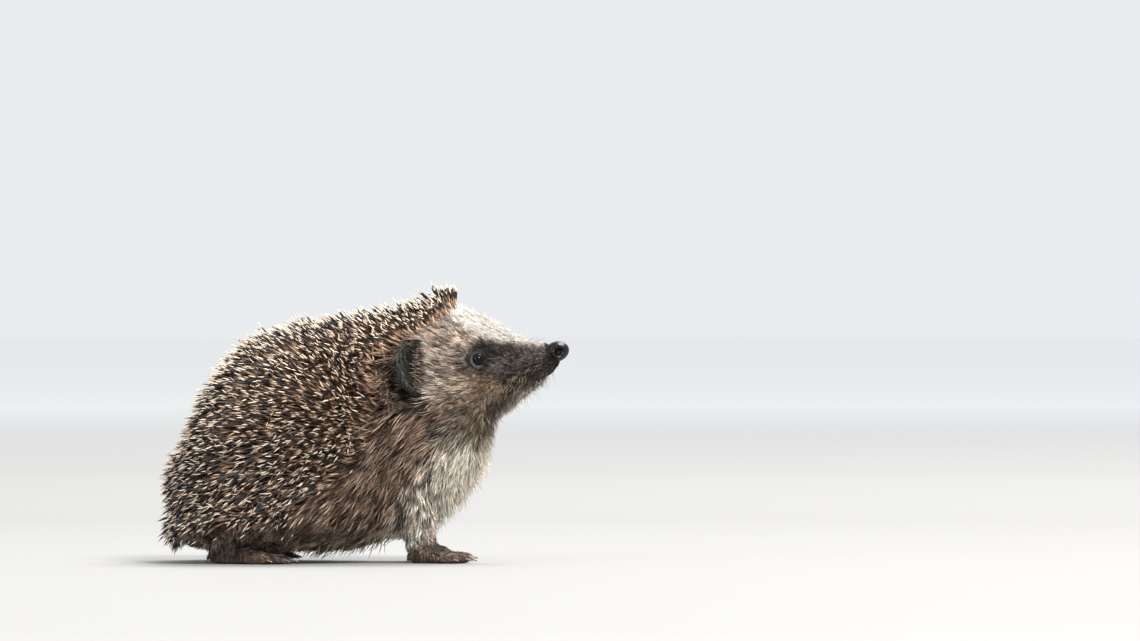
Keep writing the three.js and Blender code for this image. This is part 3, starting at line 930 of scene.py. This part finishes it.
def groom(roots, kind):
    count = len(roots["at"])
    way, lift, long = guided(roots["at"], hairGuides)
    roots["way"] = unit(way + rng.normal(0, 0.12, (count, 3)))
    roots["lift"] = lift * rng.uniform(0.6, 1.25, count)
    roots["long"] = long * rng.uniform(0.7, 1.12, count)
    breast = breastShare(roots["at"])
    roots["thick"] = kind["thick"] * rng.uniform(0.7, 1.2, count) * (1 - 0.25 * breast)
    roots["thick"] *= np.clip(long / (5 * mm), 0.6, 1.1)
    roots["bend"] = 0.45 * np.sin(roots["lift"])
    roots["turn"] = rng.uniform(0, 6.28, count)
    nearest = gathered(roots)
    stray = rng.random(count) < hairCoat["stray"] + hairCoat["fringe"] * breast
    roots["lift"] = np.where(stray, np.minimum(roots["lift"] * 1.9, 1.3), roots["lift"])
    roots["long"] *= np.where(stray, 1.15, 1.0)
    lot = 0.5 * (rng.random(count)[nearest] + rng.random(count))
    proud = lot > 1 - kind["pale"][0]       # the palest strands stand out over the rest
    roots["thick"] *= np.where(proud, 1.3, 0.96)
    roots["lift"] *= np.where(proud, 1.14, 0.97)
    roots["colour"] = hairColours(roots, kind, nearest, lot)


def hair():
    finish = hairFinish()
    grows = hairField(ground.middles, ground.facing)
    head = headShare(ground.middles)
    density = 1 / np.clip(guided(ground.middles, hairGuides)[2] / (4 * mm), 0.6, 2.2)
    density *= 1 + 0.45 * breastShare(ground.middles)
    for part, share in (("face", head), ("body", 1 - head)):
        kind = hairCoat[part]
        roots = ground.scatter(kind["count"], grows * share * density)
        groom(roots, kind)
        right = roots["at"][:, 1] < 0
        section = np.digitize(roots["at"][:, 0], [line * mm for line in kind["lines"]])
        for side, chosenSide in (("Right", right), ("Left", ~right)):
            for number, label in enumerate(kind["labels"]):
                piece = strands(f"{label}Hair{side}", chosen(roots, chosenSide & (section == number)),
                                kind["steps"], 3, finish)


show("hair")
hair()

whiskerCoat = {
    "beds": [  # from, to, reach mm, number, the way they point, length mm, thickness mm, colour
        (near("nose", -7, 4, -4), near("nose", -20, 8, -8), 3, 18,
         (-0.6, 0.5, -0.6), (6, 11), 0.11, (0.62, 0.55, 0.46)),
        (near("nose", -5, 0, -10), near("nose", -20, 2, -21), 4, 50,
         (0.5, 0.15, -0.9), (5, 10), 0.12, (0.7, 0.65, 0.55)),
        (near("nose", -8, 0, -12), near("nose", -26, 0, -29), 4.2, 400,
         (0.35, 0.05, -0.9), (2, 4.5), 0.2, (0.85, 0.79, 0.68)),
        (near("nose", -10, 5, -3), near("nose", -26, 11, -7), 6, 300,
         (-1, 0.2, -0.25), (2, 4), 0.22, (0.33, 0.28, 0.25)),
        (near("eye", 5, 0, -1), near("eye", 14, -3, 1), 3, 60,
         (1, 0, -0.2), (2, 4), 0.2, (0.4, 0.34, 0.3)),
        (near("nose", -18, 8, -15), near("eye", 2, 0, -17), 5, 190,
         (-0.5, 0.2, -0.8), (3, 6), 0.22, (0.6, 0.48, 0.34)),
        (near("nose", -9, 2, 4), near("nose", -13, 3, 5), 2, 6,
         (0.7, 0.3, 0.7), (6, 10), 0.11, (0.7, 0.65, 0.6)),
        (near("eye", -6, -15, 27), near("eye", 14, -15, 19), 6, 90,
         (-0.5, 0.1, 0.9), (4, 7), 0.2, (0.9, 0.86, 0.8)),
    ],
    "steps": [(0, 1), (0.35, 0.85), (0.7, 0.55)],
}


def whiskers():
    beds = []
    for start, end, reach, number, way, (shortest, longest), thick, colour in whiskerCoat["beds"]:
        bed = ground.scatter(number, (fromSegment(folded(ground.middles), start, end) < reach * mm) * 1.0)
        side = np.sign(bed["at"][:, 1:2])
        bed["way"] = unit(np.array(way) * np.hstack([side * 0 + 1, side, side * 0 + 1]) +
                          rng.normal(0, 0.25, (number, 3)))
        bed["long"] = rng.uniform(shortest, longest, number) * mm
        bed["lift"] = rng.uniform(0.35, 0.8, number)
        bed["bend"] = rng.uniform(0, 0.15, number)
        bed["sway"] = rng.normal(0, 0.12, number)
        bed["thick"] = np.full(number, thick * mm)
        bed["turn"] = rng.uniform(0, 6.28, number)
        bed["colour"] = np.array(colour) * rng.uniform(0.3, 1.1, (number, 1))
        beds.append(bed)
    roots = {key: np.concatenate([bed[key] for bed in beds]) for key in beds[0]}
    strands("whiskers", roots, whiskerCoat["steps"], 3, hairFinish())


show("whiskers")
whiskers()


def storeRing(thing, centre, outward):
    points = np.array([v.co[:] for v in thing.data.vertices]) - np.array(centre)
    angle = np.arccos(np.clip(unit(points) @ np.array(outward), -1, 1))
    storeNumber(thing.data, "ring", np.degrees(angle) / 90)


def eyeFinish():
    finish, tree, shader = newFinish("eyeGloss", 0.03, IOR=1.24)
    rings = ramp(tree, attribute(tree, "ring").outputs["Fac"],
                 [(0, (0.002, 0.002, 0.002)), (0.3, (0.003, 0.002, 0.002)), (0.38, (0.012, 0.007, 0.005)),
                  (0.6, (0.008, 0.006, 0.005)), (0.68, (0.03, 0.036, 0.045)), (1, (0.05, 0.058, 0.07))])
    flecks = ramp(tree, grain(tree, 2600, 2), [(0.35, 0.7), (0.65, 1.3)])
    tree.links.new(multiplied(tree, rings, flecks), shader.inputs["Base Color"])
    return finish


def eyeball(name, side, finish):
    centre, outward = sided(anchors["eye"], side), eyeAxes(side)[2]
    form = bmesh.new()
    bmesh.ops.create_uvsphere(form, u_segments=40, v_segments=28, radius=eyeShape["ball"])
    for vert in form.verts:
        bulge = max(0, vert.co.normalized().z - 0.72) / 0.28
        vert.co *= 1 + 0.06 * bulge ** 1.3
    turn = Vector((0, 0, 1)).rotation_difference(outward).to_matrix()
    bmesh.ops.rotate(form, verts=form.verts, cent=(0, 0, 0), matrix=turn)
    bmesh.ops.translate(form, verts=form.verts, vec=centre)
    ball = newObject(name, form)
    for face in ball.data.polygons:
        face.use_smooth = True
    storeRing(ball, centre, outward)
    ball.data.materials.append(finish)
    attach(ball, "root")
    return ball


show("eyes")
eyeGloss = eyeFinish()
for label, side in (("Left", 1), ("Right", -1)):
    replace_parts(eyeball("eye" + label, side, eyeGloss), "eye_" + label.lower())


noseShape = {
    "radii": Vector((6.3, 4.9, 4.9)) * mm,
    "tilt": 0.32,
    "nostril": near("nose", 1.3, 4.4, 0.1),
    "nostrilSize": 2.2 * mm,
    "nostrilDeep": 2.6 * mm,
    "tail": near("nose", -3.0, 4.9, 1.2),       # where the slit behind the nostril ends
    "groove": 0.5 * mm,
}


def noseFinish():
    finish, tree, shader = newFinish("noseLeather", 0.3, Coat_Weight=0.22, Coat_Roughness=0.16,
                                     Specular_IOR_Level=0.12)
    # The nostril's lining is dark red; deeper in the hole it is darker still, painted shade.
    marks = ramp(tree, attribute(tree, "hollow").outputs["Fac"],
                 [(0, (0.007, 0.0065, 0.007)), (0.3, (0.009, 0.004, 0.004)), (0.8, (0.004, 0.002, 0.002))])
    spots = ramp(tree, grain(tree, 1800, 3), [(0.3, 0.6), (0.7, 1.3)])
    tree.links.new(multiplied(tree, marks, spots), shader.inputs["Base Color"])
    cells = addNode(tree, "ShaderNodeTexVoronoi", feature="F1")
    cells.inputs["Scale"].default_value = 1900
    where = addNode(tree, "ShaderNodeTexCoord")
    tree.links.new(where.outputs["Object"], cells.inputs["Vector"])
    relief(tree, shader, cells.outputs["Distance"], 0.35, 0.0002)
    return finish


def nose():
    form = bmesh.new()
    bmesh.ops.create_uvsphere(form, u_segments=72, v_segments=48, radius=1)
    bmesh.ops.scale(form, verts=form.verts, vec=noseShape["radii"])
    bmesh.ops.rotate(form, verts=form.verts, cent=(0, 0, 0),
                     matrix=Matrix.Rotation(-noseShape["tilt"], 3, "Y"))
    bmesh.ops.translate(form, verts=form.verts, vec=anchors["nose"])
    form.normal_update()
    points = places(form)
    p = folded(points)
    mouthOf = np.linalg.norm(p - np.array(noseShape["nostril"]), axis=1) / noseShape["nostrilSize"]
    slit = fromSegment(p, noseShape["nostril"], noseShape["tail"]) / (0.55 * mm)
    hole = np.exp(-mouthOf ** 4) * noseShape["nostrilDeep"]
    hole = np.maximum(hole, np.exp(-slit ** 2) * 0.7 * mm)
    rim = np.exp(-((mouthOf - 1.35) / 0.22) ** 2) * 0.4 * mm
    low = 0.3 + 0.7 * smooth(anchors["nose"].z + 2 * mm, anchors["nose"].z - 1 * mm, points[:, 2])
    low *= smooth(anchors["nose"].x + 1 * mm, anchors["nose"].x + 3 * mm, points[:, 0])
    groove = np.exp(-(points[:, 1] / (0.45 * mm)) ** 2) * noseShape["groove"] * low
    for vert, dent in zip(form.verts, hole + groove - rim):
        vert.co -= vert.normal * dent
    pad = newObject("nosePad", form)
    for face in pad.data.polygons:
        face.use_smooth = True
    storeNumber(pad.data, "hollow", np.clip(hole / noseShape["nostrilDeep"] * 1.3, 0, 1))
    pad.data.materials.append(noseFinish())
    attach(pad, "root")
    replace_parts(pad, "nose")


show("nose")
nose()


earShape = {
    "foot": near("ear", 9.2, -6.4, -14.1),
    "crown": near("ear", 5.6, -7.6, 14.0),
    "reach": 20 * mm,
    "topReach": 4.2 * mm,      # more reach at the top
    "sunk": 2.6 * mm,          # the front edge lies this deep in the head
    "outward": Vector((-0.69, 0.724, 0)).normalized(),
    "cup": 3.6 * mm,
    "thick": 1.0 * mm,
    "rimRoll": 1.5 * mm,
}
earDown = {"count": 2900, "long": 4.6 * mm, "thick": 0.2 * mm, "steps": [(0, 0.9), (0.5, 0.9)],
           "tufts": (0, 0.26), "tuftLong": 4.8 * mm}        # tufts grow on the front share of the leaf


# A point of the ear's leaf from its place on a flat disc, across and up from -1 to 1.
def earPoint(across, up, side):
    foot, crown = sided(earShape["foot"], side), sided(earShape["crown"], side)
    outward = sided(earShape["outward"], side)
    upward = (crown - foot).normalized()
    face = outward.cross(upward).normalized() * side
    edge = math.sqrt(max(1 - up * up, 0))
    width = earShape["reach"] + earShape["topReach"] * float(smooth(-0.1, 0.8, up))
    spread = math.hypot(across, up)
    hollow = earShape["cup"] * (1 - min(spread, 1) ** 2)
    roll = earShape["rimRoll"] * max(0, (spread - 0.8) / 0.2) ** 2
    roll *= float(smooth(-0.5, 0.1, across + 0.4 * up))
    fold = 0.9 * mm * math.exp(-((across - 0.25 + 0.3 * up) / 0.16) ** 2) * (1 - min(spread, 1) ** 4)
    point = foot.lerp(crown, (up + 1) / 2) + outward * ((across + edge) / 2 * width - earShape["sunk"])
    return point + face * (roll + fold - hollow) - outward * roll * 0.5


def earFinish():
    finish, tree, shader = newFinish("earSkin", 0.62, Specular_IOR_Level=0.3)
    tone = ramp(tree, grain(tree, 700, 4), [(0.3, 0.6), (0.7, 1.25)])
    tint = multiplied(tree, attribute(tree, "marking").outputs["Color"], tone)
    tree.links.new(tint, shader.inputs["Base Color"])
    relief(tree, shader, grain(tree, 1200, 3), 0.5, 0.0004)
    return finish


# Painted shade: dark in the hollow at the front; paler at the rim.
def earColour(discs):
    spread = np.linalg.norm(discs, axis=1)
    front = smooth(0.25, -0.3, discs[:, 0] + 0.25 * discs[:, 1])
    rim = smooth(0.78, 0.95, spread) * smooth(-0.5, 0, discs[:, 0])
    colour = np.array([0.02, 0.0195, 0.016]) * np.ones((len(discs), 1))
    colour += front[:, None] * (np.array([0.006, 0.0055, 0.005]) - colour)
    return colour + rim[:, None] * (np.array([0.034, 0.033, 0.028]) - colour)


def ear(label, side, finish, downFinish):
    form = bmesh.new()
    bmesh.ops.create_grid(form, x_segments=24, y_segments=28, size=1)
    discs = []
    for vert in form.verts:
        x, y = vert.co.x, vert.co.y
        discs.append((x * math.sqrt(1 - y * y / 2), y * math.sqrt(1 - x * x / 2)))
        vert.co = earPoint(*discs[-1], side)
    bmesh.ops.recalc_face_normals(form, faces=form.faces)
    leaf = newObject("ear" + label, form)
    storeColour(leaf.data, earColour(np.array(discs)))
    wall = leaf.modifiers.new("wall", "SOLIDIFY")
    wall.thickness = earShape["thick"]
    wall.offset = 0
    softer = leaf.modifiers.new("softer", "SUBSURF")
    softer.levels = softer.render_levels = 1
    leaf.data = bpy.data.meshes.new_from_object(leaf.evaluated_get(bpy.context.evaluated_depsgraph_get()))
    leaf.modifiers.clear()
    for face in leaf.data.polygons:
        face.use_smooth = True
    leaf.data.materials.append(finish)
    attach(leaf, "root")
    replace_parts(leaf, "ear_" + label.lower())
    unwrap(leaf)
    bed = Ground(leaf)
    count = earDown["count"]
    roots = bed.scatter(count, np.ones(len(bed.areas)))
    inward = np.array(sided(Vector((0.5, -0.35, -0.8)), side))
    foot, outward = (np.array(sided(earShape[key], side)) for key in ("foot", "outward"))
    fromFront = (roots["at"] - foot) @ outward / earShape["reach"]
    front = fromFront < rng.uniform(*earDown["tufts"], count)
    back = np.array(sided(Vector((-0.9, 0.35, 0.3)), side))
    rim = smooth(0.7, 0.95, fromFront)[:, None]
    lie = inward + rim * (0.9 * back - 0.5 * inward) + 0.5 * ripple(roots["at"], 6 * mm)[:, None] * back
    roots["way"] = unit(np.where(front[:, None], back, lie) + rng.normal(0, 0.16 + 0.14 * rim, (count, 3)))
    roots["lift"] = np.where(front, rng.uniform(0.25, 0.7, count), rng.uniform(0.08, 0.32, count))
    roots["long"] = np.where(front, earDown["tuftLong"], earDown["long"]) * rng.uniform(0.5, 1.2, count)
    roots["thick"] = earDown["thick"] * rng.uniform(0.7, 1.2, count) * np.where(front, 1.6, 1)
    roots["bend"] = 0.4 * np.sin(roots["lift"])
    roots["sway"] = rng.normal(0, 0.07, count)
    roots["turn"] = rng.uniform(0, 6.28, count)
    grey = np.array([0.17, 0.165, 0.13]) * rng.uniform(0.05, 1.3, (count, 1)) ** 2
    # Painted shade: the down grows darker towards the front, in the ear's hollow.
    grey *= 0.15 + 0.85 * smooth(0.35, 0.7, fromFront)[:, None]
    tan = np.array([0.56, 0.42, 0.32]) * rng.uniform(0.15, 1.25, (count, 1))
    roots["colour"] = np.where(front[:, None], tan, grey)
    strands("earDown" + label, roots, earDown["steps"], 3, downFinish)


show("ears")
earSkin, earHair = earFinish(), hairFinish()
for label, side in (("Left", 1), ("Right", -1)):
    ear(label, side, earSkin, earHair)


def clawFinish():
    finish, tree, shader = newFinish("clawHorn", 0.38, Coat_Weight=0.2)
    tone = ramp(tree, grain(tree, 500, 2), [(0.3, (0.1, 0.065, 0.045)), (0.7, (0.26, 0.19, 0.14))])
    tree.links.new(tone, shader.inputs["Base Color"])
    return finish


def claws():
    names = [f"claw_{which}_{side}_{number}" for which, side, number in clawList]
    form = bmesh.new()
    for name in names:
        form.from_mesh(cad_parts[name].data)
    bmesh.ops.remove_doubles(form, verts=form.verts, dist=1e-6)
    thing = newObject("claws", form)
    softer = thing.modifiers.new("softer", "SUBSURF")
    softer.levels = softer.render_levels = 2
    for face in thing.data.polygons:
        face.use_smooth = True
    thing.data.materials.append(clawFinish())
    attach(thing, "root")
    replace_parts(thing, *names)


show("claws")
claws()


stageShape = {"floor": 60.0, "camera": 4.56, "lens": 300, "aim": (97 * mm, 0, 116 * mm)}


def floor():
    form = bmesh.new()
    bmesh.ops.create_circle(form, cap_ends=True, segments=64, radius=stageShape["floor"])
    ground = newObject("floor", form)
    finish, tree, shader = newFinish("paleFloor", 0.7)
    away = addNode(tree, "ShaderNodeTexGradient", gradient_type="SPHERICAL")
    where = addNode(tree, "ShaderNodeTexCoord")
    smaller = addNode(tree, "ShaderNodeMapping")
    smaller.inputs["Scale"].default_value = (0.12, 0.12, 0.12)
    tree.links.new(where.outputs["Object"], smaller.inputs["Vector"])
    tree.links.new(smaller.outputs["Vector"], away.inputs["Vector"])
    # Painted light and shade: the floor is darker near the middle, where the lamps light it most, and paler
    # far off, where their light has fallen off.
    tone = ramp(tree, away.outputs["Fac"], [(0, 0.96), (0.2, 0.81), (0.4, 0.61), (0.57, 0.445),
                                        (0.66, 0.37), (0.77, 0.325), (0.88, 0.29), (1, 0.31)])
    tree.links.new(tone, shader.inputs["Base Color"])
    ground.data.materials.append(finish)


def lamp(name, at, size, power, colour=(1, 1, 1)):
    data = bpy.data.lights.new(name, "AREA")
    data.shape = "DISK"
    data.size = size
    data.energy = power
    data.color = colour
    light = bpy.data.objects.new(name, data)
    light.location = at
    light.rotation_euler = (Vector((0, 0, 0.06)) - Vector(at)).to_track_quat("-Z", "Y").to_euler()
    bpy.context.scene.collection.objects.link(light)


show("stage")
floor()
lamp("keyLight", (1.8, -3.6, 3.6), 1.6, 360, (1, 0.97, 0.93))
lamp("backLight", (1.2, 1.7, 3.5), 2.2, 210, (1, 0.97, 0.92))
lamp("fillLight", (-3, -2.5, 1.4), 2, 50, (0.93, 0.96, 1))
bpy.context.scene.view_settings.view_transform = "Standard"
sky = bpy.data.worlds.new("studio")
bpy.context.scene.world = sky
sky.use_nodes = True
sky.node_tree.nodes["Background"].inputs["Color"].default_value = (0.82, 0.84, 0.86, 1)
sky.node_tree.nodes["Background"].inputs["Strength"].default_value = 1

lens = bpy.data.cameras.new("camera")
lens.lens = stageShape["lens"]
lens.sensor_width = 36
lens.clip_start, lens.clip_end = 0.05, 150
camera = bpy.data.objects.new("camera", lens)
aimX, _, aimZ = stageShape["aim"]
camera.location = (aimX, -stageShape["camera"], aimZ)
camera.rotation_euler = (math.pi / 2, 0, 0)
bpy.context.scene.collection.objects.link(camera)
bpy.context.scene.camera = camera
